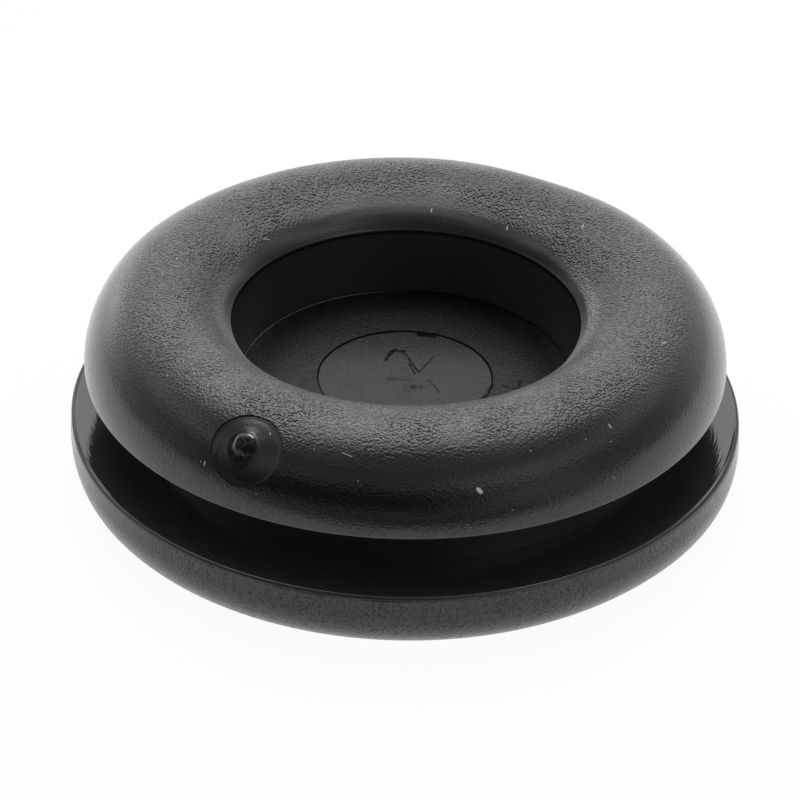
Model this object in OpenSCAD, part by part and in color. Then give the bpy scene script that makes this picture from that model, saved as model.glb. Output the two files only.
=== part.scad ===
// Blanking grommet: a closed rubber ring that snaps into a round hole in sheet metal.
// One moulded piece, turned about Z. The lower flange rests on z = 0.

/* [Flanges] */
// Widest diameter of the upper flange, which is a half-round bead
upper_flange_d = 24; // [22.5:0.1:26]
// Height of the upper flange above the panel groove
upper_flange_h = 3.05; // [2.6:0.05:3.6]
// Widest diameter of the lower flange
lower_flange_d = 25.4; // [24:0.1:28]
// Thickness of the lower flange below the panel groove
lower_flange_h = 2.75; // [2.3:0.05:3.4]
// Radius of the lower flange's outer and inner edges
lower_edge_r = 1.9; // [1.2:0.1:2.2]

/* [Panel groove] */
// Width of the groove, the sheet thickness it takes
groove_w = 2; // [1:0.1:3]
// Diameter of the neck, the panel hole it fills
neck_d = 20.5; // [18:0.1:21.5]

/* [Bore and membrane] */
// Diameter of the bore on both sides of the membrane
bore_d = 12.5; // [10:0.1:14]
// Height of the ledge at the bore's mouth above the groove's upper face
mouth_ledge_h = 1.4; // [0.6:0.05:1.8]
// Thickness of the membrane that closes the bore
membrane_t = 1; // [0.6:0.05:1.4]
// Height of the membrane's underside above the groove's lower face
membrane_lift = 0.15; // [0:0.05:0.5]

/* [Mould marks] */
// Diameter of the round mark in the middle of the membrane
pin_mark_d = 6.6; // [4:0.1:8]
// Depth of the mark in the membrane
pin_mark_depth = 0.05; // [0.02:0.01:0.1]
// Diameter of the smooth pad round the gate
gate_pad_d = 2.7; // [1.6:0.1:3]
// Depth of the pad below the bead's surface
gate_pad_depth = 0.06; // [0.02:0.01:0.1]
// Diameter of the stub that broke off at the gate
gate_stub_d = 0.7; // [0.4:0.05:1]
// Height of the stub above the pad
gate_stub_h = 0.22; // [0.1:0.01:0.4]
// Direction of the gate round the axis, in degrees from +X
gate_azimuth = -120.5; // [-180:0.5:180]
// Lean of the gate from straight up, in degrees
gate_lean = 45; // [30:1:55]

/* [Hidden] */
$fn = 96;
rubber_black = [0.10, 0.10, 0.11];

upper_r = upper_flange_d / 2;
lower_r = lower_flange_d / 2;
bore_r = bore_d / 2;
neck_r = neck_d / 2;

// Levels above the resting plane
groove_low_z = lower_flange_h;
groove_high_z = groove_low_z + groove_w;
top_z = groove_high_z + upper_flange_h;
ledge_z = groove_high_z + mouth_ledge_h;
membrane_low_z = groove_low_z + membrane_lift;
membrane_high_z = membrane_low_z + membrane_t;

// The bead's half circle spans the upper flange from the bore to the rim
bead_r = (upper_r - bore_r) / 2;
bead_centre_r = bore_r + bead_r;
bead_centre_z = top_z - bead_r;

// How far a cutting shape stands past the surface that it cuts
cut_past = 1;

// A disc of radius r in the section plane, centred at radius x and height z
module section_disc(x, z, r) {
    translate([x, z]) circle(r);
}

// A rectangle in the section plane between two radii and two heights
module section_box(x_in, x_out, z_low, z_high) {
    translate([x_in, z_low]) square([x_out - x_in, z_high - z_low]);
}

// Half-round bead over a short straight land, open in the middle as the bore
module upper_flange_section() {
    intersection() {
        union() {
            section_disc(bead_centre_r, bead_centre_z, bead_r);
            section_box(bore_r, upper_r, groove_high_z, max(bead_centre_z, groove_high_z));
        }
        section_box(bore_r, upper_r, groove_high_z, top_z);
    }
    section_box(bore_r, bead_centre_r, groove_high_z, ledge_z);
}

// Flange with a flat foot and round edges; its rim curls in a little at the groove
module lower_flange_section() {
    edge_outer_x = lower_r - lower_edge_r;
    edge_inner_x = bore_r + lower_edge_r;
    intersection() {
        union() {
            section_disc(edge_outer_x, lower_edge_r, lower_edge_r);
            section_disc(edge_inner_x, lower_edge_r, lower_edge_r);
            section_box(edge_inner_x, edge_outer_x, 0, groove_low_z);
            section_box(bore_r, edge_inner_x, lower_edge_r, groove_low_z);
        }
        section_box(bore_r, lower_r, 0, groove_low_z);
    }
}

// Wall between the groove and the bore
module neck_section() {
    section_box(bore_r, neck_r, groove_low_z, groove_high_z);
}

// Thin wall that closes the bore, with the mould pin's shallow round mark on top
module membrane_section() {
    difference() {
        section_box(0, bore_r, membrane_low_z, membrane_high_z);
        section_box(0, pin_mark_d / 2, membrane_high_z - pin_mark_depth, membrane_high_z + cut_past);
    }
}

// Puts its children on the bead's section circle, with +Z along the gate's own direction
module at_gate() {
    rotate([0, 0, gate_azimuth])
        translate([bead_centre_r, 0, bead_centre_z])
            rotate([0, gate_lean, 0])
                children();
}

// What is taken off the bead to leave the pad, a round patch sunk evenly below the surface
module gate_pad_cut() {
    difference() {
        at_gate() cylinder(d = gate_pad_d, h = bead_r + cut_past);
        rotate_extrude() section_disc(bead_centre_r, bead_centre_z, bead_r - gate_pad_depth);
    }
}

// Short round stub left where the runner broke off
module gate_stub() {
    at_gate() cylinder(d = gate_stub_d, h = bead_r - gate_pad_depth + gate_stub_h);
}

module grommet() {
    color(rubber_black) {
        difference() {
            rotate_extrude() {
                upper_flange_section();
                neck_section();
                lower_flange_section();
                membrane_section();
            }
            gate_pad_cut();
        }
        gate_stub();
    }
}

grommet();
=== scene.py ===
# %% [markdown]
# # A blanking grommet in black rubber
# The real object is one moulded ring, closed by a thin wall across its bore, that snaps into a
# round hole in sheet metal. The fixed frame gives its place and its main sizes in metres. Here it
# gets the skin that a drawing leaves out: the grain of the mould, the polished groove, the marks
# of the gate and of the pin, and the small dents of a soft part.

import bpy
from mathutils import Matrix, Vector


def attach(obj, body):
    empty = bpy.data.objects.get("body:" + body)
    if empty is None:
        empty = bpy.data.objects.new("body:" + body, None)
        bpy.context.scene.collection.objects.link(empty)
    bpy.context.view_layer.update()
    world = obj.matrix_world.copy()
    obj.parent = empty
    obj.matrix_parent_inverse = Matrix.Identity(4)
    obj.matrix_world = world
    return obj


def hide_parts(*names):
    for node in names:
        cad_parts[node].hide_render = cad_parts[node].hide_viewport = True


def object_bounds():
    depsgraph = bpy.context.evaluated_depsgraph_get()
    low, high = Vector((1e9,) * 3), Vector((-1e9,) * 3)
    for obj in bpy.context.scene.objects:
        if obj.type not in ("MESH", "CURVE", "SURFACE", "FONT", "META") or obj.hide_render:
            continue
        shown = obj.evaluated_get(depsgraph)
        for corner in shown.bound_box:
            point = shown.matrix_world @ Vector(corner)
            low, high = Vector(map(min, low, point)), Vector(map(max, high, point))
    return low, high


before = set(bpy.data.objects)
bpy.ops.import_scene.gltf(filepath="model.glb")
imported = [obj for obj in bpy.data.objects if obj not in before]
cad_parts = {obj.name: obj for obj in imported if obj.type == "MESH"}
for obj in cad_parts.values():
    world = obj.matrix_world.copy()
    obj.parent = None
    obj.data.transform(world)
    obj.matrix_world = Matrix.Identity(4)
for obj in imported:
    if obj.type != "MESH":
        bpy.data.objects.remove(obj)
cad_low, cad_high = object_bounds()
print("frame box, mm:", [round(v * 1000, 2) for v in (*cad_low, *cad_high)])

# %% [markdown]
# ## Tools and units
# Blender counts in metres and a small moulding is easier to think of in millimetres, so one factor
# turns the one into the other. The colours could go through a film-like curve, but the plain
# Standard view shows white as white, which a black part on a white table needs.

# %% Tools and units
import math

import bpy
import numpy as np
from mathutils import Quaternion, Vector

mm = 0.001
scene = bpy.context.scene
scene.view_settings.view_transform = "Standard"
print("one millimetre is", mm, "of the scene's units")

# %% [markdown]
# ## The camera
# A long lens some 14 cm away, a third of the way up from the table to straight above. It could be
# placed by hand, but four plain numbers (height angle, distance, lens and a slight roll) give the
# same view each time and say what they mean.

# %% Camera
camera_height_angle = math.radians(32.87)
camera_distance = 136.7 * mm
camera_roll = math.radians(0.94)
camera_lens = 162.1
aimed_at = Vector((-0.174 * mm, 0.042 * mm, cad_low.z + 2.815 * mm))
pivot = Vector((0, 0, cad_low.z + 2.75 * mm))

camera_data = bpy.data.cameras.new("camera")
camera_data.lens = camera_lens
camera_data.clip_start = 0.01
camera_data.clip_end = 20
camera = bpy.data.objects.new("camera", camera_data)
scene.collection.objects.link(camera)
backward = Vector((0, -math.cos(camera_height_angle), math.sin(camera_height_angle)))
camera.location = pivot + backward * camera_distance
camera.rotation_mode = "QUATERNION"
looking = (aimed_at - camera.location).to_track_quat("-Z", "Y")
camera.rotation_quaternion = looking @ Quaternion((0, 0, 1), camera_roll)
scene.camera = camera
print("camera stands at, mm:", [round(v * 1000, 1) for v in camera.location])

# %% [markdown]
# ## Nodes in one line
# A finish is a small graph. Each step of it is one node with a few options and inputs, so one
# helper adds a node, sets it and joins it to what feeds it. It could be a long list of separate
# calls, but then the idea of each finish would be hard to see.


# %% Node helper
def put(tree, kind, inputs=None, **options):
    """Adds one node; each input is a constant, or another node's output, which is joined."""
    made = tree.nodes.new("ShaderNode" + kind)
    for option, value in options.items():
        setattr(made, option, value)
    for socket, value in (inputs or {}).items():
        if isinstance(value, bpy.types.NodeSocket):
            tree.links.new(value, made.inputs[socket])
        else:
            made.inputs[socket].default_value = value
    return made


def calc(tree, operation, a, b=None, c=None, clamp=False):
    """One Math node: a operation b."""
    values = {i: v for i, v in enumerate((a, b, c)) if v is not None}
    return put(tree, "Math", values, operation=operation, use_clamp=clamp).outputs[0]


def fade(tree, value, start, end):
    """0 where value is at start, 1 where it is at end, and a smooth change between."""
    made = put(tree, "MapRange", {0: value, 1: start, 2: end}, interpolation_type="SMOOTHSTEP")
    return made.outputs[0]


def clear_tree(owner):
    """Turns nodes on for a material or the world and empties its tree."""
    owner.use_nodes = True
    owner.node_tree.nodes.clear()
    return owner.node_tree


print("node helpers ready")

# %% [markdown]
# ## The table
# The part stands on a white sheet. A matt sheet alone would turn grey and uneven, and a glowing one
# would show no shadow, so the two are mixed: the camera and the gloss see mostly plain white, and
# the small matt share still takes a faint shadow. The gloss sees a little less of the white than
# the camera does, and seen from below the sheet is clear.

# %% Table
table_size = 6.0
table_white = 0.9
even_share = 0.95
gloss_share = 0.96

table_mesh = bpy.data.meshes.new("table")
half = table_size / 2
corners = [(-half, -half), (half, -half), (half, half), (-half, half)]
table_mesh.from_pydata([(x, y, cad_low.z) for x, y in corners], [], [(0, 1, 2, 3)])
table = bpy.data.objects.new("table", table_mesh)
scene.collection.objects.link(table)

table_paint = bpy.data.materials.new("table_white")
tree = clear_tree(table_paint)
matt = put(tree, "BsdfDiffuse", {"Color": (table_white, table_white, table_white, 1)})
even = put(tree, "Emission", {"Color": (1, 1, 1, 1), "Strength": 1.0})
path = put(tree, "LightPath")
gloss_part = calc(tree, "MULTIPLY", path.outputs["Is Glossy Ray"], gloss_share)
seen = calc(tree, "MAXIMUM", path.outputs["Is Camera Ray"], gloss_part)
seen = calc(tree, "MAXIMUM", seen, path.outputs["Is Transmission Ray"])
share = calc(tree, "MULTIPLY", seen, even_share)
top = put(tree, "MixShader", {0: share, 1: matt.outputs[0], 2: even.outputs[0]})
clear = put(tree, "BsdfTransparent")
below = put(tree, "NewGeometry").outputs["Backfacing"]
below = calc(tree, "MULTIPLY", below, path.outputs["Is Camera Ray"])
sided = put(tree, "MixShader", {0: below, 1: top.outputs[0], 2: clear.outputs[0]})
put(tree, "OutputMaterial", {0: sided.outputs[0]})
table_mesh.materials.append(table_paint)
print("table", table_size, "m square, even share", even_share)

# %% [markdown]
# ## The sheet of painted shade
# Smooth rubber mirrors what lies in front of it, and a bare white table would turn the lower edges
# of the ring pale. A grey sheet lies on the table in front of the part, unseen by the camera: painted
# shade for the table's front, which the lamps above and behind light less. One grey would do for a
# start, but a paint that darkens away from the part and is darkest in the middle keeps the sides of
# the ring a little lighter than its front.

# %% Sheet of painted shade
card_edge_y = -25 * mm
card_length = 130 * mm
card_half_width = 110 * mm
card_lift = 0.05 * mm
shade_edge_tone = 0.52
shade_far_tone = 0.14
card_far_y = -65 * mm
card_middle_share = 0.5

card_mesh = bpy.data.meshes.new("front_shade_sheet")
near_y = card_edge_y
far_y = card_edge_y - card_length
card_z = cad_low.z + card_lift
card_corners = [
    (-card_half_width, far_y, card_z),
    (card_half_width, far_y, card_z),
    (card_half_width, near_y, card_z),
    (-card_half_width, near_y, card_z),
]
card_mesh.from_pydata(card_corners, [], [(0, 1, 2, 3)])
front_shade_sheet = bpy.data.objects.new("front_shade_sheet", card_mesh)
front_shade_sheet.visible_camera = False
scene.collection.objects.link(front_shade_sheet)

# The grey sheet is painted shade for the table's dimmer front: darker away from the part and in its
# middle.
front_shade_paint = bpy.data.materials.new("front_shade_grey")
tree = clear_tree(front_shade_paint)
card_place = put(tree, "TexCoord").outputs["Object"]
forward = put(tree, "SeparateXYZ", {0: card_place}).outputs["Y"]
tone_range = {0: forward, 1: near_y, 2: card_far_y, 3: shade_edge_tone, 4: shade_far_tone}
shade_tone = put(tree, "MapRange", tone_range).outputs[0]
sideways = calc(tree, "ABSOLUTE", put(tree, "SeparateXYZ", {0: card_place}).outputs["X"])
to_side = fade(tree, sideways, 3 * mm, 32 * mm)
card_side = calc(tree, "MULTIPLY_ADD", to_side, 1 - card_middle_share, card_middle_share)
shade_tone = calc(tree, "MULTIPLY", shade_tone, card_side)
matt = put(tree, "BsdfDiffuse", {"Color": shade_tone})
put(tree, "OutputMaterial", {0: matt.outputs[0]})
card_mesh.materials.append(front_shade_paint)
print("dark card from y =", round(near_y * 1000), "mm forward")

# %% [markdown]
# ## The room
# Small black parts stand in a little tent of cloth. Its back wall glows, its sides and its front
# right glow less, and the rest of the front is dim. The world is the tent: each wall is a soft
# spot whose strength is the cosine of the angle from its middle, raised to a power, so a high
# power is a small spot. A broad belt, strongest some 50 degrees up, adds a weak even light, and a
# sine of the height angle makes folds in the cloth, which the gloss shows as soft bands. An image
# of a room could do the same, but each of these numbers says what it means.

# %% Light
high_belt = 0.28
high_belt_height = 0.79
high_belt_reach = 0.42
fold_spacing_deg = 30
fold_depth = 0.45
soft_spots = [
    ("horizon behind", 90, 2, 22, 0.95),
    ("horizon behind left", 122, 2, 22, 1.15),
    ("back wall", 90, 22, 14, 0.75),
    ("back wall right", 45, 25, 12, 0.7),
    ("back wall left", 135, 25, 12, 0.7),
    ("left wall", 180, 25, 12, 0.36),
    ("right wall", 0, 25, 12, 0.28),
    ("front right wall", -45, 25, 12, 0.6),
    ("roof back", 90, 40, 24, 0.65),
    ("roof right", 60, 52, 12, 0.45),
    ("roof left", 120, 52, 12, 0.25),
]

world = bpy.data.worlds.new("room")
scene.world = world
tree = clear_tree(world)
way = put(tree, "TexCoord").outputs["Generated"]
high = put(tree, "SeparateXYZ", {0: way}).outputs["Z"]
off_belt = calc(tree, "ABSOLUTE", calc(tree, "SUBTRACT", high, high_belt_height))
strength = calc(tree, "MULTIPLY", fade(tree, off_belt, high_belt_reach, 0.0), high_belt)
for name, azimuth_deg, height_deg, tightness, level in soft_spots:
    a = math.radians(azimuth_deg)
    h = math.radians(height_deg)
    centre = (math.cos(h) * math.cos(a), math.cos(h) * math.sin(a), math.sin(h))
    along = put(tree, "VectorMath", {0: way, 1: centre}, operation="DOT_PRODUCT").outputs[1]
    spot = calc(tree, "POWER", calc(tree, "MAXIMUM", along, 0.0), float(tightness))
    strength = calc(tree, "MULTIPLY_ADD", spot, level, strength)
climb = calc(tree, "MULTIPLY", calc(tree, "ARCSINE", high), 360 / fold_spacing_deg)
folds = calc(tree, "MULTIPLY_ADD", calc(tree, "SINE", climb), fold_depth, 1.0)
strength = calc(tree, "MULTIPLY", strength, folds)
air = put(tree, "Background", {"Color": (1, 1, 1, 1), "Strength": strength})
put(tree, "OutputWorld", {0: air.outputs[0]})
print("soft spots:", [spot[0] for spot in soft_spots])

# %% [markdown]
# ## The lamps
# A soft panel hangs close above and behind, and draws the bright crown on the ring. Five tubes
# hang just under it and stripe the crown faintly, as lamps behind cloth do. Two more panels,
# further back on the left and the right, light the ring's rear. One large lamp could light it
# all, but its reflection would be too even. A lamp's brightness is its power over area and pi, so
# 1 looks as bright as a white sheet.

# %% Lamps
panel_width = 60 * mm
panel_depth = 48.5 * mm
panel_middle = Vector((-1 * mm, 15.8 * mm, 46 * mm))
panel_brightness = 1.35
tube_length = 52 * mm
tube_width = 5 * mm
tube_spacing = 11 * mm
tube_drop = 0.5 * mm
tubes = [(-2.5, 0.8), (-1.5, 1.7), (-0.5, 2.2), (0.5, 2.1), (1.5, 2.4)]
side_panels = [
    ("panel_left", 24 * mm, 18 * mm, 1.1, (-14 * mm, 32 * mm, 45 * mm)),
    ("panel_right", 30 * mm, 30 * mm, 1.2, (32 * mm, 40 * mm, 42 * mm)),
]


def hang(name, shape, width, depth, brightness, location):
    """A flat lamp that shines straight down, as bright as brightness times a white sheet."""
    lamp = bpy.data.lights.new(name, "AREA")
    lamp.shape = shape
    lamp.size = width
    lamp.size_y = depth
    filled = math.pi / 4 if shape == "ELLIPSE" else 1
    lamp.energy = brightness * math.pi * width * depth * filled
    hung = bpy.data.objects.new(name, lamp)
    hung.location = location
    hung.visible_camera = False
    scene.collection.objects.link(hung)


hang("panel_above", "ELLIPSE", panel_width, panel_depth, panel_brightness, panel_middle)
for step, brightness in tubes:
    tube_place = panel_middle + Vector((0, step * tube_spacing, -tube_drop))
    hang("tube", "RECTANGLE", tube_length, tube_width, brightness, tube_place)
for name, width, depth, brightness, location in side_panels:
    hang(name, "ELLIPSE", width, depth, brightness, location)
print("panels:", 1 + len(side_panels), "tubes:", len(tubes))

# %% [markdown]
# ## The section
# The ring is turned: one section carried round the axis makes it all. The section starts in the
# middle of the thin wall, climbs the bore, goes over the bead, into the groove, round the lower
# flange and back under the wall. It is written as straight runs and arcs in millimetres, with
# more points where a small form needs them.

# %% Section helpers
def arc(centre_r, centre_z, radius, start, end, count):
    """Points on a circle in the section plane, at centre + radius x (sin a, cos a).
    The angle a runs from start to end in degrees and is 0 straight up, 90 straight out."""
    a = np.radians(np.linspace(start, end, count))
    return np.column_stack((centre_r + radius * np.sin(a), centre_z + radius * np.cos(a)))


def run(start, end, count):
    """Points at equal steps on a straight line, both ends included."""
    t = np.linspace(0, 1, count)[:, None]
    return np.array(start) * (1 - t) + np.array(end) * t


print("section helpers ready")

# %% [markdown]
# ## The section's sizes
# The sizes follow the fixed solid to about a tenth of a millimetre. They could be read off the
# solid's own mesh, but named sizes can be compared with the real part and changed one by one.

# %% Sizes of the section
bead_radius = 2.975
bead_r = 9.07
bead_z = 4.92
rim_r = bead_r + bead_radius
bore_r = 6.25
neck_r = 10.24
groove_low = 2.75
groove_high = 4.81
wall_top = 3.90
pin_mark_r = 3.30
pin_mark_drop = 0.05
pin_face_z = wall_top - pin_mark_drop
ring_floor = pin_face_z - 0.05
wall_low = 2.90
lower_r = 12.70
edge_r = 1.9
lip_r = 0.13
corner = 0.02
print("rim and lower flange reach, mm:", round(rim_r, 3), lower_r)

# %% [markdown]
# ## From the thin wall to the bead
# A fine channel runs round the pin mark, and the bore has a small step at its mouth, above which
# the half-round bead begins. These small forms could be bumps in a material, but as real forms
# they catch the light from every side.

# %% Upper parts of the section
thin_wall = np.vstack([
    run((0.02, pin_face_z), (pin_mark_r - 0.10, pin_face_z), 10),
    run((pin_mark_r - 0.05, pin_face_z), (pin_mark_r - 0.03, pin_face_z), 3),
    run((pin_mark_r - 0.022, ring_floor), (pin_mark_r + 0.018, ring_floor), 3),
    run((pin_mark_r + 0.026, wall_top), (pin_mark_r + 0.046, wall_top), 3),
    run((pin_mark_r + 0.10, wall_top), (bore_r - 0.20, wall_top), 8),
    run((bore_r - 0.08, wall_top), (bore_r - 0.02, wall_top), 3),
])
bore = np.vstack([
    arc(bore_r - 0.012, wall_top + 0.012, 0.012, 170, 96.5, 4),
    run((bore_r + 0.001, wall_top + 0.04), (bore_r + 0.006, wall_top + 0.10), 3),
    run((bore_r + 0.03, wall_top + 0.32), (6.505, 6.23), 7),
    run((6.518, 6.34), (6.526, 6.41), 3),
    arc(6.649, 6.433, 0.12, -82, -56, 6),
])
bead = np.vstack([
    arc(bead_r, bead_z, bead_radius, -56, 12, 46),
    arc(bead_r, bead_z, bead_radius, 13, 74, 76),
    arc(bead_r, bead_z, bead_radius, 76, 90, 8),
])
print("points:", len(thin_wall), "on the wall,", len(bore), "in the bore,", len(bead), "on the bead")

# %% [markdown]
# ## From the groove to the foot
# The groove has nearly square corners. The lower flange begins with a small round lip, as polished
# as the groove. Its side leans out a little and then turns into a round edge, the flat foot and
# the round inner edge. The underside is a guess, and is kept plain for that reason.

# %% Lower parts of the section
groove = np.vstack([
    arc(rim_r - 0.06, groove_high + 0.06, 0.06, 95, 180, 5),
    run((rim_r - 0.08, groove_high), (rim_r - 0.12, groove_high), 3),
    run((rim_r - 0.30, groove_high), (neck_r + corner + 0.20, groove_high), 4),
    run((neck_r + corner + 0.08, groove_high), (neck_r + corner + 0.04, groove_high), 3),
    arc(neck_r + corner, groove_high - corner, corner, 0, -90, 5),
    run((neck_r, groove_high - corner - 0.04), (neck_r, groove_high - corner - 0.08), 3),
    run((neck_r, groove_high - 0.4), (neck_r, groove_low + 0.4), 3),
    run((neck_r, groove_low + corner + 0.08), (neck_r, groove_low + corner + 0.04), 3),
    arc(neck_r + corner, groove_low + corner, corner, 270, 180, 5),
    run((neck_r + corner + 0.04, groove_low), (neck_r + corner + 0.08, groove_low), 3),
    run((neck_r + 0.4, groove_low), (12.30, groove_low), 6),
    run((12.42, groove_low), (12.50, groove_low), 3),
])
lower_flange = np.vstack([
    arc(lower_r - 0.17, groove_low - lip_r, lip_r, 3, 85, 7),
    run((lower_r - 0.039, 2.57), (lower_r - 0.005, 2.0), 7),
    arc(lower_r - edge_r, edge_r, edge_r, 90, 180, 28),
    run((10.6, 0), (8.4, 0), 4),
    arc(bore_r + edge_r, edge_r, edge_r, 180, 270, 16),
])
underside = np.vstack([
    run((bore_r, 2.0), (bore_r, 2.75), 4),
    arc(bore_r - corner, wall_low - corner, corner, 90, 0, 5),
    run((bore_r - 0.12, wall_low), (0.02, wall_low), 10),
])
parts = [thin_wall, bore, bead, groove, lower_flange, underside]
section = np.vstack(parts)
print("section points:", len(section), "by part:", [len(p) for p in parts])

# %% [markdown]
# ## Finish along the section
# The mould's cavity was etched, so the bead and the outside of the lower flange carry a fine
# grain. The core that forms the bore and the plates that form the groove are polished, and the
# thin wall is slightly matt. The faces could be picked by hand, but each part of the section has
# one finish, apart from the lip, so its number in the list chooses between the three.

# %% Finish shares
from_part = np.repeat(np.arange(len(parts)), [len(p) for p in parts])
tilt = np.degrees(np.arctan2(section[:, 0] - bead_r, section[:, 1] - bead_z))


def step_up(value, low, high):
    """0 below low, 1 above high, and a smooth change between them, over a whole array."""
    t = np.clip((value - low) / (high - low), 0, 1)
    return t * t * (3 - 2 * t)


bead_no = 2
flange_no = 4
on_bead = from_part == bead_no
band_top = 2.58
lip_low = 2.60
on_band = (from_part == flange_no) & (section[:, 1] < band_top)
finish_names = ["grained_rubber", "polished_rubber", "matt_rubber"]
grained_no, polished_no, matt_no = range(3)
finish_of_part = np.array([matt_no, polished_no, grained_no, polished_no, grained_no, matt_no])
print("rows on the bead:", int(on_bead.sum()), "and on the lower band:", int(on_band.sum()))

# %% [markdown]
# ## Round the axis
# Columns stand every two degrees or so, and far closer round the gate, where the small pad and
# the broken stub need them. An even spacing would be simpler, but it would either blur the stub or
# waste faces on the rest of the ring.

# %% Columns
gate_azimuth = -119.7
gate_lean = 46.5
near_gate = 9.5
wide = np.arange(gate_azimuth + near_gate, gate_azimuth + 360 - near_gate, 1.8)
close = np.linspace(gate_azimuth - near_gate, gate_azimuth + near_gate, 112, endpoint=False)
azimuth = np.radians(np.concatenate([close, wide]))
radial = np.column_stack((np.cos(azimuth), np.sin(azimuth), np.zeros(len(azimuth))))
print("columns:", len(azimuth), "faces about:", len(azimuth) * len(section) * 2)

# %% [markdown]
# ## The turned surface
# A ring like this could be made with a Screw modifier. Worked out as one product of section and
# direction instead, it's an array of points that the next steps can push, together with the way
# that the surface faces at each of them.


# %% Surface of revolution
def turned(points):
    """Every section point carried to every direction: x = R cos a, y = R sin a, z stays."""
    place = points[:, None, 0, None] * radial[None]
    place[..., 2] = points[:, 1, None]
    return place


def section_normals(points):
    """The section's outward direction at each point: its run turned a quarter to the left."""
    along = np.gradient(points, axis=0)
    along /= np.linalg.norm(along, axis=1)[:, None]
    return np.column_stack((-along[:, 1], along[:, 0]))


def angle_from(centre):
    """Degrees from a direction round the axis, from -180 to 180, for each column."""
    return (np.degrees(azimuth) - centre + 180) % 360 - 180


surface = turned(section)
flat_normals = section_normals(section)
outward = flat_normals[:, None, 0, None] * radial[None]
outward[..., 2] = flat_normals[:, 1, None]
print("surface grid:", surface.shape)

# %% [markdown]
# ## Dents of a soft part
# A soft moulding isn't quite round: the bead and the lower flange have shallow dents and slight
# bulges. A lattice could bend the mesh, but a bell-shaped push along the surface's own direction
# needs only three numbers: its direction round the axis, its width and its height.

# %% Dents of a soft part
bead_pushes = [(60, 13, -0.15), (155, 14, 0.04), (12, 12, 0.04)]
flange_pushes = [(-25, 16, 0.08), (190, 14, -0.06)]


def pushed(pushes):
    """The sum of smooth pushes round the axis, each a bell: direction, half width, height."""
    bells = [high * np.exp(-(angle_from(at) / half_wide) ** 2) for at, half_wide, high in pushes]
    return sum(bells)


outer_side = (on_bead * step_up(tilt, 5, 45))[:, None]
lower_side = ((from_part == flange_no) * step_up(section[:, 0], 9.5, 12))[:, None]
shift = pushed(bead_pushes)[None] * outer_side + pushed(flange_pushes)[None] * lower_side
surface += shift[..., None] * outward
print("pushed in and out by, mm:", round(float(shift.min()), 2), round(float(shift.max()), 2))

# %% [markdown]
# ## How much grain
# The grain fades out on the inner side of the bead, further up at the back than elsewhere, and
# gets weaker down its outer side. At the back the bead ends in a polished edge at the bore's mouth,
# darkened with painted shade. A pale grey of painted sheen lies on two stretches of the bead's inner
# slope and low on the lower flange's foot. A painted image could hold all this, but smooth steps of
# the tilt and the direction need no picture. Each is kept as one number for each point, which a
# material reads later as an attribute.

# %% Grain, edge shade and painted sheen shares
grain_loss_outside = 0.72
grain_of_band = 0.5
smooth_at_back = np.exp(-(angle_from(95) / 48) ** 2)[None]
grain_start = -55 + 12 * smooth_at_back
grain_full = -46 + 28 * smooth_at_back
grain_share = step_up(tilt[:, None], grain_start, grain_full) * on_bead[:, None]
grain_share *= 1 - grain_loss_outside * step_up(tilt[:, None], 12, 42)
grain_share = np.where(on_band[:, None], grain_of_band, grain_share)
# Painted shade: the polished edge at the back of the bore's mouth is darkened.
mouth_start = 47 + 5.5 * np.exp(-(angle_from(140) / 30) ** 2)[None]
mouth_shade_share = step_up(-tilt[:, None], mouth_start, mouth_start + 6) * on_bead[:, None]
mouth_shade_share *= step_up(np.sin(azimuth), -0.3, -0.12)
# Painted sheen: a pale grey on the bead's inner slope, mostly toward the right and a little toward
# the left, and low on the foot of the lower flange, where the surfaces turn away.
painted_sheen_side = np.exp(-(angle_from(-20) / 40) ** 2) + 0.4 * np.exp(-(angle_from(200) / 40) ** 2)
painted_sheen_ring = step_up(-tilt, 35, 45) * (1 - step_up(-tilt, 48, 53)) * on_bead
painted_sheen_foot = 0.85 * step_up(-section[:, 1], -0.95, -0.35) * on_band * (section[:, 0] > 10)
painted_sheen_share = painted_sheen_ring[:, None] * painted_sheen_side[None] + painted_sheen_foot[:, None]
print("mean grain share on the bead:", round(float(grain_share[on_bead].mean()), 2))

# %% [markdown]
# ## The gate
# The rubber entered the mould through a gate on the bead. It left a round pad, sunk a little and
# flatter than the bead, and a short broken stub just off its middle. The pad's step fades out on
# its lower side. The pad and the stub could be cut and joined as solids, but each is a height
# that depends on the distance from its own middle, so the same grid is pushed in and out.

# %% Gate sizes
pad_r = 1.34
pad_squash = 1.06
pad_step = 0.04
pad_flatten = 0.035
stub_r = 0.36
stub_height = 0.27
stub_foot_height = 0.03
stub_across = -0.09
stub_up = 0.16
crater_r = 0.24
crater_depth = 0.012
crater_across = -0.11
crater_up = 0.23
print("pad and stub radius, mm:", pad_r, stub_r)

# %% [markdown]
# ## Pushes at the gate
# The gate has its own three directions: out along its axis, across and up the bead. Measured in
# them, the pad and the stub are nearly round, and a little waviness tears the stub's edge.

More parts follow.
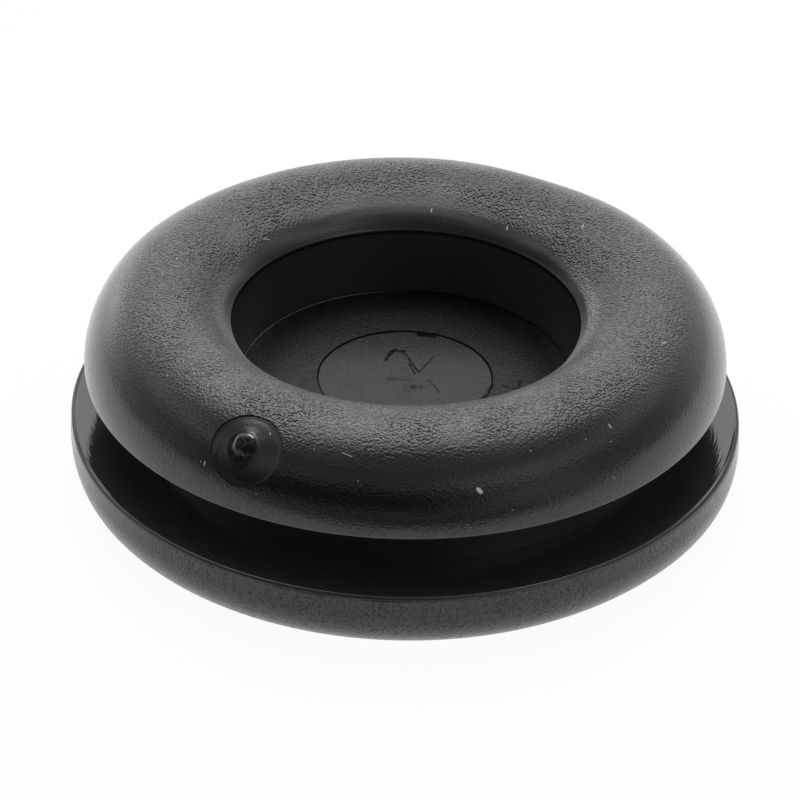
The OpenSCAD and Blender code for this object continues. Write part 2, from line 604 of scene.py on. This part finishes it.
# %% Gate pad and stub
lean = math.radians(gate_lean)
turn = math.radians(gate_azimuth)
gate_out = np.array([math.cos(turn), math.sin(turn), 0])
gate_axis = math.sin(lean) * gate_out + np.array([0, 0, math.cos(lean)])
gate_foot = bead_r * gate_out + np.array([0, 0, bead_z])
gate_side = np.array([-math.sin(turn), math.cos(turn), 0])
gate_up = np.cross(gate_axis, gate_side)
offset = surface - gate_foot
ahead = offset @ gate_axis
across = offset @ gate_side
upward = offset @ gate_up
reach = np.hypot(across, upward * pad_squash)
facing = (ahead > 1) & on_bead[:, None]
sunk = pad_step * (0.3 + 0.7 * step_up(upward, -1.0, 0.1))
sunk += pad_flatten * np.clip(1 - (reach / pad_r) ** 2, 0, 1)
pad = -sunk * (1 - step_up(reach, pad_r - 0.03, pad_r + 0.03))
bearing = np.arctan2(upward, across)
torn = 1 + 0.04 * np.sin(3 * bearing + 0.8) + 0.03 * np.sin(7 * bearing)
from_stub = np.hypot(across - stub_across, upward - stub_up)
stub = stub_height * (1 - step_up(from_stub * torn, stub_r - 0.16, stub_r + 0.14))
stub += stub_foot_height * (1 - step_up(from_stub, stub_r, stub_r + 0.40))
from_crater = np.hypot(across - crater_across, upward - crater_up) * torn
crater = -crater_depth * (1 - step_up(from_crater, crater_r - 0.12, crater_r + 0.06))
surface += ((pad + stub + crater) * facing)[..., None] * outward
print("points moved at the gate:", int(((pad + stub != 0) & facing).sum()))

# %% [markdown]
# ## The mesh
# The grid closes round the axis and ends in a point in the middle of the thin wall, above and
# below. Each face goes along the section and then round, which makes every face point outwards.

# %% Grid to mesh
rows, columns = surface.shape[:2]
grid_index = np.arange(rows * columns).reshape(rows, columns)
next_column = np.roll(grid_index, -1, axis=1)
quads = np.stack(
    (grid_index[:-1], grid_index[1:], next_column[1:], next_column[:-1]), axis=-1
).reshape(-1, 4)
top_pole = rows * columns
low_pole = top_pole + 1
top_fan = np.column_stack((np.full(columns, top_pole), grid_index[0], next_column[0]))
low_fan = np.column_stack((np.full(columns, low_pole), next_column[-1], grid_index[-1]))
poles = [(0, 0, section[0, 1]), (0, 0, section[-1, 1])]
points = np.vstack((surface.reshape(-1, 3), poles)) * mm
points[:, 2] += cad_low.z

grommet_mesh = bpy.data.meshes.new("rubber_grommet")
loops = np.concatenate([quads.ravel(), top_fan.ravel(), low_fan.ravel()])
sizes = np.concatenate([np.full(len(quads), 4), np.full(2 * columns, 3)])
grommet_mesh.vertices.add(len(points))
grommet_mesh.vertices.foreach_set("co", points.ravel())
grommet_mesh.loops.add(len(loops))
grommet_mesh.loops.foreach_set("vertex_index", loops)
grommet_mesh.polygons.add(len(sizes))
grommet_mesh.polygons.foreach_set("loop_start", np.concatenate([[0], np.cumsum(sizes)[:-1]]))
grommet_mesh.polygons.foreach_set("use_smooth", np.ones(len(sizes), bool))
row_finish = finish_of_part[from_part]
row_finish[(from_part == flange_no) & (section[:, 1] > lip_low)] = polished_no
quad_finish = np.repeat(row_finish[1:], columns)
finish_index = np.concatenate([quad_finish, np.full(2 * columns, finish_of_part[0])])
grommet_mesh.polygons.foreach_set("material_index", finish_index)
grommet_mesh.update(calc_edges=True)
grommet_mesh.validate()
print("triangles:", int((sizes - 2).sum()))

# %% [markdown]
# ## Shares on the mesh
# The shares worked out above are stored with the points of the mesh. A vertex colour could hold
# all three, but a named number for each is easier to find again.


# %% Shares on the mesh
def keep_share(name, grid_values, pole_values):
    """Stores one number for each point of the grid and for the two poles."""
    values = np.concatenate([grid_values.ravel(), pole_values])
    kept = grommet_mesh.attributes.new(name, "FLOAT", "POINT")
    kept.data.foreach_set("value", values.astype(np.float32))


keep_share("grain_share", grain_share, [0, 0])
keep_share("painted_sheen_share", painted_sheen_share, [0, 0])
keep_share("mouth_shade_share", mouth_shade_share, [0, 0])
grommet = bpy.data.objects.new("rubber_grommet", grommet_mesh)
scene.collection.objects.link(grommet)
print("shares on the mesh:", [kept.name for kept in grommet_mesh.attributes if "share" in kept.name])

# %% [markdown]
# ## Black rubber
# Carbon black makes the rubber almost black all through, so nearly all that is seen is gloss. The
# mould gives it three finishes: grained outside, polished in the bore and the groove, and matt on
# the thin wall. Each is a material of its own, built from two shared groups: a grain and a stroke.
# The nodes could be copied into each material, but a group is written once and named once.


# %% Start of a group
def new_group(name, inputs, outputs):
    """An empty node group with named sockets, and the ends of its graph."""
    group = bpy.data.node_groups.new(name, "ShaderNodeTree")
    for socket, kind, value in inputs:
        made = group.interface.new_socket(name=socket, in_out="INPUT", socket_type=kind)
        made.default_value = value
    for socket, kind in outputs:
        group.interface.new_socket(name=socket, in_out="OUTPUT", socket_type=kind)
    return group, group.nodes.new("NodeGroupInput"), group.nodes.new("NodeGroupOutput")


scalar = "NodeSocketFloat"
vector = "NodeSocketVector"
print("groups can be made")

# %% [markdown]
# ## The etched grain
# An etched mould leaves wrinkles about a tenth of a millimetre across. Their height bends the
# reflections, as a bump. A bump alone doesn't shade a wrinkle's front side, so that shade is
# painted: the noise is read twice, a small step apart, and where it rises toward the back and
# upward, toward the light, it gives the painted shade.

# %% Grain group
grain_step = (0.0, 0.24, 0.18)
full_shade_rise = 0.085
worm_settings = {"Scale": 1.0, "Detail": 1.0, "Roughness": 0.5, "Distortion": 0.3}

grain_group, given, result = new_group(
    "etched_grain",
    [("Place", vector, (0, 0, 0)), ("Cell", scalar, 0.2), ("Depth", scalar, 0.01)],
    [("Height", scalar), ("Painted Shade", scalar)],
)
per_mm = calc(grain_group, "DIVIDE", 1.0, given.outputs["Cell"])
spread = put(
    grain_group, "VectorMath", {0: given.outputs["Place"], "Scale": per_mm}, operation="SCALE"
)
worms = put(grain_group, "TexNoise", {"Vector": spread.outputs[0], **worm_settings})
stepped = put(grain_group, "VectorMath", {0: spread.outputs[0], 1: grain_step}, operation="ADD")
further = put(grain_group, "TexNoise", {"Vector": stepped.outputs[0], **worm_settings})
# Painted shade: where the noise rises toward the back and up, a wrinkle's front side is darkened.
rise = calc(grain_group, "SUBTRACT", further.outputs[0], worms.outputs[0])
height = calc(grain_group, "MULTIPLY", worms.outputs[0], given.outputs["Depth"])
grain_group.links.new(height, result.inputs["Height"])
grain_group.links.new(fade(grain_group, rise, 0.0, full_shade_rise), result.inputs["Painted Shade"])
print("group", grain_group.name)

# %% [markdown]
# ## A stroke
# Every small mark on the rubber, from a crease to a fibre, is a short thick line. The group gives
# 1 on the line and 0 away from it: it takes the distance from a place to the nearest point of the
# line and fades it out over the half width. A painted mask could do this too, but a stroke needs
# only two ends and a width, and stays sharp however near the camera is.

# %% Stroke group
stroke_group, given, result = new_group(
    "stroke",
    [
        ("Place", vector, (0, 0, 0)), ("Start", vector, (0, 0, 0)), ("End", vector, (1, 0, 0)),
        ("Half Width", scalar, 0.05), ("Core", scalar, 0.35), ("Strength", scalar, 1.0),
    ],
    [("Mask", scalar)],
)


def on_vectors(operation, a, b=None):
    """One Vector Math node of the stroke group."""
    values = {i: v for i, v in enumerate((a, b)) if v is not None}
    return put(stroke_group, "VectorMath", values, operation=operation)


from_start = on_vectors("SUBTRACT", given.outputs["Place"], given.outputs["Start"]).outputs[0]
whole = on_vectors("SUBTRACT", given.outputs["End"], given.outputs["Start"]).outputs[0]
done = on_vectors("DOT_PRODUCT", from_start, whole).outputs[1]
length_2 = calc(stroke_group, "ADD", on_vectors("DOT_PRODUCT", whole, whole).outputs[1], 1e-6)
share = calc(stroke_group, "DIVIDE", done, length_2, clamp=True)
nearest = put(stroke_group, "VectorMath", {0: whole, "Scale": share}, operation="SCALE").outputs[0]
away = on_vectors("LENGTH", on_vectors("SUBTRACT", from_start, nearest).outputs[0]).outputs[1]
inner_edge = calc(stroke_group, "MULTIPLY", given.outputs["Half Width"], given.outputs["Core"])
mask = fade(stroke_group, away, given.outputs["Half Width"], inner_edge)
mask = calc(stroke_group, "MULTIPLY", mask, given.outputs["Strength"])
stroke_group.links.new(mask, result.inputs["Mask"])
print("group", stroke_group.name)

# %% [markdown]
# ## What the finishes share
# All three finishes start alike. Their patterns are read from the object's own coordinates, in
# millimetres, so they stay where they are when the part moves. The tones are kept together here,
# so that they can be compared.


# %% Start of a finish
def new_finish(name):
    """A material, its empty tree, and the place in millimetres that its patterns read."""
    finish = bpy.data.materials.new(name)
    tree = clear_tree(finish)
    place = put(tree, "TexCoord").outputs["Object"]
    place = put(tree, "VectorMath", {0: place, "Scale": 1 / mm}, operation="SCALE").outputs[0]
    return finish, tree, place


def grain_of(tree, place, cell, depth):
    """One grain of a cell size and depth in millimetres: its height and its painted shade."""
    made = put(tree, "Group", node_tree=grain_group)
    tree.links.new(place, made.inputs["Place"])
    made.inputs["Cell"].default_value = cell
    made.inputs["Depth"].default_value = depth
    return made.outputs["Height"], made.outputs["Painted Shade"]


def strokes_mask(tree, place, strokes):
    """The strongest of a list of strokes at each place."""
    total = 0.0
    for start, end, half_width, core, strength in strokes:
        made = put(tree, "Group", node_tree=stroke_group)
        tree.links.new(place, made.inputs["Place"])
        made.inputs["Start"].default_value = start
        made.inputs["End"].default_value = end
        made.inputs["Half Width"].default_value = half_width
        made.inputs["Core"].default_value = core
        made.inputs["Strength"].default_value = strength
        total = calc(tree, "MAXIMUM", total, made.outputs["Mask"])
    return total


def axis_distance(tree, place):
    """Distance from the grommet's axis."""
    flat = put(tree, "VectorMath", {0: place, 1: (1, 1, 0)}, operation="MULTIPLY").outputs[0]
    return put(tree, "VectorMath", {0: flat}, operation="LENGTH").outputs["Value"]


carbon_black = (0.0112, 0.0112, 0.0120, 1)
# The bore's black and the groove's lighter black are lifted above the carbon black: painted light on
# faces that lie in shade.
polished_painted_light_black = (0.022, 0.022, 0.024, 1)
# The darkest black paints shade in the grain, on the thin wall, in the bore's corner, in the pad's
# step and on the stub, and colours the dark marks.
shade_and_mark_black = (0.002, 0.002, 0.002, 1)
pin_face_black = (0.020, 0.020, 0.022, 1)
groove_painted_light_black = (0.030, 0.030, 0.034, 1)
painted_sheen_grey = (0.24, 0.24, 0.24, 1)
dust_and_highlight_white = (0.75, 0.75, 0.73, 1)
print("carbon black:", carbon_black[:3])

# %% [markdown]
# ## Marks on the thin wall
# Each mark is a short list of strokes in millimetres: start, end, half width, how much of the
# width is full, and strength. A curl, maybe left by the mould, runs over the round mark, with a few
# soft smears and nicks near it.


# %% Marks on the thin wall
def on_wall(x, y):
    """A point on the thin wall, lower inside the round mark."""
    high = pin_face_z if math.hypot(x, y) < pin_mark_r else wall_top
    return (x, y, high + cad_low.z / mm)


curl = [(-0.75, 1.2), (-0.62, 1.62), (-0.51, 1.87), (-0.32, 2.02), (-0.09, 1.9), (0.10, 1.46),
        (0.30, 0.90), (0.53, 0.42)]
curl_width = [0.07, 0.12, 0.16, 0.16, 0.10, 0.055, 0.045]
creases = [
    (on_wall(*a), on_wall(*b), w, 0.4, 1.0) for a, b, w in zip(curl[:-1], curl[1:], curl_width)
]
creases += [
    (on_wall(0.14, 1.05), on_wall(0.38, 0.30), 0.05, 0.3, 0.8),
    (on_wall(1.10, 1.6), on_wall(0.53, 0.42), 0.045, 0.3, 0.7),
    (on_wall(0.9, -0.1), on_wall(1.3, -0.95), 0.06, 0.3, 0.6),
    (on_wall(3.69, -0.48), on_wall(4.02, -0.68), 0.10, 0.3, 0.9),
    (on_wall(4.02, -0.68), on_wall(4.36, -0.62), 0.08, 0.3, 0.9),
    (on_wall(4.30, -0.65), on_wall(4.35, -0.15), 0.06, 0.3, 0.9),
]
smears = [
    (on_wall(-0.6, -0.08), on_wall(-0.3, -0.14), 0.26, 0.0, 0.6),
    (on_wall(-0.2, -0.16), on_wall(0.15, -0.10), 0.24, 0.0, 0.45),
    (on_wall(0.3, -0.62), on_wall(0.55, -0.66), 0.28, 0.0, 0.9),
    (on_wall(0.0, -0.5), on_wall(0.05, -0.9), 0.22, 0.0, 0.4),
    (on_wall(0.5, 3.12), on_wall(1.1, 3.02), 0.30, 0.2, 1.0),
    (on_wall(2.95, -1.4), on_wall(3.3, -0.5), 0.16, 0.3, 1.0),
]
print("creases:", len(creases), "smears:", len(smears))

# %% [markdown]
# ## Matt finish
# The thin wall is slightly matt, and a bit duller on the round mark. It lies deep in the bore, so
# painted shade stands for the light that doesn't get there: over the wall outside the round mark,
# more near the bore and to the right, and at the back of the round mark. The fine channel round the
# mark and the grain's front sides are painted shade too. A dark spot takes Metallic as well as a
# dark colour, because a black metal mirrors almost nothing, while black rubber always keeps its
# gloss.

# %% Matt finish
matt_rubber, tree, place = new_finish("matt_rubber")
from_axis = axis_distance(tree, place)
pin_face = calc(tree, "LESS_THAN", from_axis, pin_mark_r)
off_ring = calc(tree, "ABSOLUTE", calc(tree, "SUBTRACT", from_axis, pin_mark_r))
# Painted shade in the fine channel round the pin mark.
ring_channel_shade = fade(tree, off_ring, 0.05, 0.02)
broken = put(tree, "TexNoise", {"Vector": place, "Scale": 4.0, "Detail": 2.0}).outputs[0]
broken = calc(tree, "MULTIPLY_ADD", fade(tree, broken, 0.34, 0.52), 0.55, 0.45)
crease = calc(tree, "MULTIPLY", strokes_mask(tree, place, creases), broken)
smear = calc(tree, "MULTIPLY", strokes_mask(tree, place, smears), broken)
matt_height, matt_grain_shade = grain_of(tree, place, 0.085, 0.020)
height = calc(tree, "MULTIPLY_ADD", crease, -0.02, matt_height)
parted = put(tree, "SeparateXYZ", {0: place})
# Painted shade for the light that the bore holds back from the thin wall.
shade_near_wall = calc(tree, "MULTIPLY", fade(tree, from_axis, 4.0, 6.2), 0.24)
shaded = calc(tree, "MULTIPLY_ADD", fade(tree, parted.outputs["X"], 0.5, 5.5), 0.12, shade_near_wall)
shaded = calc(tree, "ADD", shaded, 0.30)
shaded = calc(tree, "MULTIPLY", shaded, calc(tree, "SUBTRACT", 1.0, pin_face))
shade_to_back = calc(tree, "MULTIPLY", fade(tree, parted.outputs["Y"], 0.6, 2.6), 0.34)
shaded = calc(tree, "MULTIPLY_ADD", shade_to_back, pin_face, shaded)
bump = put(tree, "Bump", {"Strength": 1.0, "Distance": mm, "Height": height})
dark = calc(tree, "MAXIMUM", calc(tree, "MAXIMUM", crease, smear), ring_channel_shade)
dark = calc(tree, "MAXIMUM", dark, calc(tree, "MULTIPLY_ADD", matt_grain_shade, 0.35, shaded))
rough = calc(tree, "MULTIPLY_ADD", pin_face, 0.07, 0.33)
body = put(tree, "MixRGB", {0: pin_face, 1: carbon_black, 2: pin_face_black}).outputs[0]
body = put(tree, "MixRGB", {0: dark, 1: body, 2: shade_and_mark_black}).outputs[0]
shade = put(
    tree, "BsdfPrincipled",
    {
        "Base Color": body, "Metallic": dark, "Roughness": rough, "IOR": 1.40,
        "Normal": bump.outputs[0],
    },
)
put(tree, "OutputMaterial", {0: shade.outputs[0]})
print("material", matt_rubber.name, "nodes:", len(tree.nodes))

# %% [markdown]
# ## Polished finish
# The plates and the core of the mould were turned on a lathe and polished. The faint turning marks
# that they leave run round the axis, so their noise is read along the radius and the direction.
# Painted shade darkens the bore's low corner by the thin wall and the top of the bore at its mouth,
# and lighter blacks in the bore, and more so in the groove, are painted light on these shaded faces.

# %% Polished finish
polished_rubber, tree, place = new_finish("polished_rubber")
parted = put(tree, "SeparateXYZ", {0: place})
round_axis = calc(tree, "ARCTAN2", parted.outputs["Y"], parted.outputs["X"])
over_radius = calc(tree, "MULTIPLY", axis_distance(tree, place), 14.0)
over_turn = calc(tree, "MULTIPLY", round_axis, 9.0)
turning = put(tree, "CombineXYZ", {0: over_radius, 1: over_turn, 2: 0.0}).outputs[0]
marks = put(tree, "TexNoise", {"Vector": turning, "Scale": 1.0, "Detail": 1.0}).outputs[0]
height = calc(tree, "MULTIPLY", marks, 0.004)
high = calc(tree, "SUBTRACT", parted.outputs["Z"], cad_low.z / mm)
off_witness = calc(tree, "ABSOLUTE", calc(tree, "SUBTRACT", high, 5.98))
witness_side = fade(tree, calc(tree, "ABSOLUTE", calc(tree, "SUBTRACT", round_axis, 0.6)), 0.5, 0.2)
witness = calc(tree, "MULTIPLY", fade(tree, off_witness, 0.08, 0.0), witness_side)
height = calc(tree, "MULTIPLY_ADD", witness, 0.012, height)
bump = put(tree, "Bump", {"Strength": 1.0, "Distance": mm, "Height": height})
in_bore = calc(tree, "LESS_THAN", axis_distance(tree, place), 6.6)
# Painted shade: the bore's low corner by the thin wall, more to the right, is near black, and the top
# of the bore by its mouth loses most of its gloss.
low_corner_shade = calc(tree, "MULTIPLY", fade(tree, high, wall_top + 0.06, wall_top + 0.03), in_bore)
low_corner_shade = calc(tree, "MULTIPLY", low_corner_shade, fade(tree, parted.outputs["X"], -3.5, 1.0))
mouth_turn_shade = calc(tree, "MULTIPLY", fade(tree, high, 6.30, 6.38), in_bore)
unlit = calc(tree, "MAXIMUM", low_corner_shade, calc(tree, "MULTIPLY", mouth_turn_shade, 0.7))
# Painted light: the bore and, lighter still, the groove get blacks above the carbon black.
body = put(tree, "MixRGB", {0: in_bore, 1: groove_painted_light_black, 2: polished_painted_light_black}).outputs[0]
body = put(tree, "MixRGB", {0: low_corner_shade, 1: body, 2: shade_and_mark_black}).outputs[0]
cloudy = put(tree, "TexNoise", {"Vector": place, "Scale": 0.9, "Detail": 2.0}).outputs[0]
rough = calc(tree, "MULTIPLY_ADD", cloudy, 0.05, 0.065)
shade = put(
    tree, "BsdfPrincipled",
    {
        "Base Color": body, "Metallic": unlit, "Roughness": rough, "IOR": 1.60,
        "Normal": bump.outputs[0],
    },
)
put(tree, "OutputMaterial", {0: shade.outputs[0]})
print("material", polished_rubber.name, "nodes:", len(tree.nodes))

# %% [markdown]
# ## Marks on the bead
# The grained finish also holds the marks of the gate on the pad, painted shade on the stub's top and
# on its side below, two painted highlights, and a few fibres and specks of dust. Each is a stroke.
# Its ends could be given in x, y and z, but a direction and a tilt on the bead, or steps from the
# gate, say better where it lies.


# %% Marks on the bead
def on_ring(azimuth_deg, tilt_deg):
    """A point on the bead: its section circle at a tilt from straight up, turned to a direction."""
    a = math.radians(azimuth_deg)
    t = math.radians(tilt_deg)
    radius = bead_r + bead_radius * math.sin(t)
    high = bead_z + bead_radius * math.cos(t)
    return (radius * math.cos(a), radius * math.sin(a), high + cad_low.z / mm)


def on_pad(across_mm, upward_mm, above=0.0):
    """A point on the pad: steps sideways and up the bead from the gate, less both curves' fall."""
    gate_r = bead_r + bead_radius * math.sin(lean)
    fall = upward_mm ** 2 / (2 * bead_radius) + across_mm ** 2 * math.sin(lean) / (2 * gate_r)
    sink = pad_step + pad_flatten * max(0.0, 1 - (across_mm ** 2 + upward_mm ** 2) / pad_r ** 2)
    high = bead_radius - fall - sink + above
    spot = gate_foot + gate_axis * high + gate_side * across_mm + gate_up * upward_mm
    return tuple(spot + np.array([0, 0, cad_low.z / mm]))


# The first two strokes are painted shade on the stub: its dark top and its darker side below. The
# rest are marks on the pad.
gate_marks_and_shade = [
    (on_pad(-0.20, 0.09, 0.30), on_pad(-0.19, 0.06, 0.1), 0.64, 0.85, 1.0),
    (on_pad(-0.08, -0.20, 0.20), on_pad(-0.08, -0.28, 0.05), 0.52, 0.7, 0.75),
    (on_pad(-1.03, -0.15), on_pad(-1.02, -0.55), 0.045, 0.3, 0.9),
    (on_pad(-1.02, -0.55), on_pad(-0.80, -0.95), 0.045, 0.3, 0.7),
    (on_pad(0.30, -0.85), on_pad(0.85, -0.45), 0.035, 0.3, 0.4),
    (on_pad(0.45, -0.95), on_pad(1.0, -0.55), 0.035, 0.3, 0.4),
    (on_pad(-0.2, -0.9), on_pad(0.4, -1.0), 0.25, 0.0, 0.4),
]
dust = [
    (-77, 58, 0.07, 0.10, 1.0), (-20.5, 17.5, 0.14, 0.035, 0.6), (35.5, -16.5, 0.1, 0.03, 0.6),
    (56.5, -45, 0.05, 0.04, 0.6), (6, 43, 0.1, 0.035, 0.8), (139, -43, 0.25, 0.02, 0.6),
    (-126.5, 64.5, 0.0, 0.04, 0.8), (-101.5, 33.5, 0.3, 0.02, 0.6), (-48.5, 39, 0.0, 0.04, 0.7),
    (82.5, -43, 0.0, 0.035, 0.6),
]
dust_and_highlights = [
    (on_ring(a, t), on_ring(a + math.degrees(long / 9), t + 2), w, 0.3, s)
    for a, t, long, w, s in dust
]
# Two painted highlights: pale strokes above the stub's upper edge and near the pad's upper right.
dust_and_highlights += [
    (on_pad(-0.04, 0.54, 0.20), on_pad(0.12, 0.49, 0.14), 0.08, 0.2, 0.65),
    (on_pad(0.60, 0.84), on_pad(0.63, 0.80), 0.035, 0.2, 0.6),
]
print("gate marks:", len(gate_marks_and_shade), "specks and fibres:", len(dust_and_highlights))

# %% [markdown]
# ## The pad's edge and face
# A thin line of painted shade goes round the pad's step, darkest on its upper side, with a low ridge
# just inside it. The pad is smoother than the bead, but rough again near the stub and at its foot.
# The mesh could carry these as more points, but they are finer than its faces, so they are masks of
# the distance from the gate's axis.

# %% Gate line and pad
grained_rubber, tree, place = new_finish("grained_rubber")


def on_gate(operation, a, b, output=0):
    """One Vector Math node with a fixed second vector."""
    made = put(tree, "VectorMath", {0: a, 1: tuple(b)}, operation=operation)
    return made.outputs[output]


from_foot = on_gate("SUBTRACT", place, gate_foot + np.array([0, 0, cad_low.z / mm]))
up_pad = on_gate("DOT_PRODUCT", from_foot, gate_up, 1)
across_pad = on_gate("DOT_PRODUCT", from_foot, gate_side, 1)
on_pad_plan = put(tree, "CombineXYZ", {0: across_pad, 1: calc(tree, "MULTIPLY", up_pad, pad_squash)})
gate_reach = put(tree, "VectorMath", {0: on_pad_plan.outputs[0]}, operation="LENGTH").outputs["Value"]
in_front = calc(tree, "GREATER_THAN", on_gate("DOT_PRODUCT", from_foot, gate_axis, 1), 1.0)
off_line = calc(tree, "ABSOLUTE", calc(tree, "SUBTRACT", gate_reach, pad_r + 0.01))
# Painted shade in the pad's step, darkest on its upper side.
step_shade_here = calc(tree, "MULTIPLY_ADD", fade(tree, up_pad, -0.9, 0.2), 0.7, 0.15)
gate_step_shade = calc(tree, "MULTIPLY", fade(tree, off_line, 0.034, 0.010), step_shade_here)
gate_step_shade = calc(tree, "MULTIPLY", gate_step_shade, in_front)
pad_here = calc(tree, "MULTIPLY", fade(tree, gate_reach, pad_r + 0.01, pad_r - 0.02), in_front)
pad_worn = fade(tree, gate_reach, stub_r + 0.6, stub_r + 0.1)
pad_grain = calc(tree, "MULTIPLY_ADD", pad_worn, 0.35, 0.15)
pad_grain = calc(tree, "MULTIPLY_ADD", fade(tree, up_pad, -0.1, -1.1), 0.6, pad_grain)
off_ridge = calc(tree, "ABSOLUTE", calc(tree, "SUBTRACT", gate_reach, pad_r - 0.07))
pad_ridge = calc(tree, "MULTIPLY", fade(tree, off_ridge, 0.055, 0.0), in_front)
pad_ridge = calc(tree, "MULTIPLY", pad_ridge, fade(tree, up_pad, -0.6, 0.6))
stub_here = calc(tree, "MULTIPLY", fade(tree, gate_reach, stub_r + 0.34, stub_r + 0.1), in_front)
print("gate line at", pad_r, "mm from the gate's axis")

# %% [markdown]
# ## Grained finish
# Here all comes together: the grain with painted shade on its shaded sides, more of it in some
# patches than in others, the gate with painted shade on its stub and step and two painted
# highlights, the polished edge at the mouth with painted shade, the painted sheen and the dust. A
# sheen lifts the tone a little where the surface turns away, as the fine bloom on rubber does. The
# random specks are cells of a Voronoi pattern: only some cells have one, near the cell's own point.

# %% Grained finish
mottle = put(tree, "TexNoise", {"Vector": place, "Scale": 0.55, "Detail": 1.5}).outputs[0]
uneven = calc(tree, "MULTIPLY_ADD", fade(tree, mottle, 0.30, 0.62), 0.45, 0.65)
grained = put(tree, "Attribute", attribute_name="grain_share").outputs["Fac"]
pad_part = calc(tree, "MULTIPLY", pad_here, calc(tree, "SUBTRACT", pad_grain, 1.0))
grain_here = calc(tree, "MULTIPLY", grained, calc(tree, "ADD", pad_part, 1.0))
grain_here = calc(tree, "MULTIPLY", grain_here, uneven)
worm_height, worm_shade = grain_of(tree, place, 0.095, 0.046)
height = calc(tree, "MULTIPLY", worm_height, grain_here)
height = calc(tree, "MULTIPLY_ADD", pad_ridge, 0.007, height)
bump = put(tree, "Bump", {"Strength": 1.0, "Distance": mm, "Height": height})
torn_face = put(tree, "TexNoise", {"Vector": place, "Scale": 6.0, "Detail": 2.0}).outputs[0]
torn_face = calc(tree, "MULTIPLY_ADD", fade(tree, torn_face, 0.62, 0.42), 0.40, 0.45)
# Marks on the pad and painted shade on the stub, broken up by noise.
gate_marks_and_shade_mask = calc(tree, "MULTIPLY", strokes_mask(tree, place, gate_marks_and_shade), torn_face)
speck_rareness = 0.58
speck_reach = 0.052
fallen = put(tree, "TexVoronoi", {"Vector": place, "Scale": 2.0}, distance="EUCLIDEAN")
drawn = put(tree, "SeparateColor", {0: fallen.outputs["Color"]}).outputs[0]
rare = calc(tree, "GREATER_THAN", drawn, speck_rareness)
specks = fade(tree, fallen.outputs["Distance"], speck_reach, speck_reach / 2)
specks = calc(tree, "MULTIPLY", specks, rare)
# Dust, fibres and specks, and two painted highlights, all in one pale colour.
dust_and_highlight = calc(tree, "MAXIMUM", strokes_mask(tree, place, dust_and_highlights), specks)
# The grain's painted shade, weaker where there is less grain.
grain_shade = calc(tree, "MULTIPLY", calc(tree, "MULTIPLY", worm_shade, grain_here), 0.95)
shade_at_mouth = put(tree, "Attribute", attribute_name="mouth_shade_share").outputs["Fac"]
# The polished edge at the mouth is darkened by painted shade, through Metallic as well as colour.
mouth_edge_shade = fade(tree, calc(tree, "MULTIPLY_ADD", worm_shade, 0.5, shade_at_mouth), 0.6, 1.0)
dark = calc(tree, "MAXIMUM", grain_shade, calc(tree, "MAXIMUM", gate_marks_and_shade_mask, gate_step_shade))
dark = calc(tree, "MULTIPLY", dark, calc(tree, "SUBTRACT", 1.0, dust_and_highlight))
gloss_off = calc(tree, "MAXIMUM", dark, calc(tree, "MULTIPLY", mouth_edge_shade, 0.7))
rough = calc(tree, "MULTIPLY_ADD", dust_and_highlight, 0.6, calc(tree, "MULTIPLY_ADD", stub_here, 0.3, 0.20))
# The painted sheen's pale grey.
painted_sheen = put(tree, "Attribute", attribute_name="painted_sheen_share").outputs["Fac"]
body = put(tree, "MixRGB", {0: painted_sheen, 1: carbon_black, 2: painted_sheen_grey}).outputs[0]
body = put(tree, "MixRGB", {0: mouth_edge_shade, 1: body, 2: polished_painted_light_black}).outputs[0]
body = put(tree, "MixRGB", {0: dark, 1: body, 2: shade_and_mark_black}).outputs[0]
body = put(tree, "MixRGB", {0: dust_and_highlight, 1: body, 2: dust_and_highlight_white}).outputs[0]
shade = put(
    tree, "BsdfPrincipled",
    {
        "Base Color": body, "Metallic": gloss_off, "Roughness": rough, "IOR": 1.60,
        "Sheen Weight": 0.65, "Sheen Roughness": 0.36, "Normal": bump.outputs[0],
    },
)
put(tree, "OutputMaterial", {0: shade.outputs[0]})
print("material", grained_rubber.name, "nodes:", len(tree.nodes))

# %% [markdown]
# ## Finishes onto the mesh
# Each face of the mesh already holds a number. The finishes are added in the order of the list of
# names, so that the number picks the right one.

# %% Finishes onto the mesh
for name in finish_names:
    grommet_mesh.materials.append(bpy.data.materials[name])
print("materials:", [slot.name for slot in grommet_mesh.materials])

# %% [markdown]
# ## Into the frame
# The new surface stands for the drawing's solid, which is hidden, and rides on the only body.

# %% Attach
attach(grommet, "root")
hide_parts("grommet")
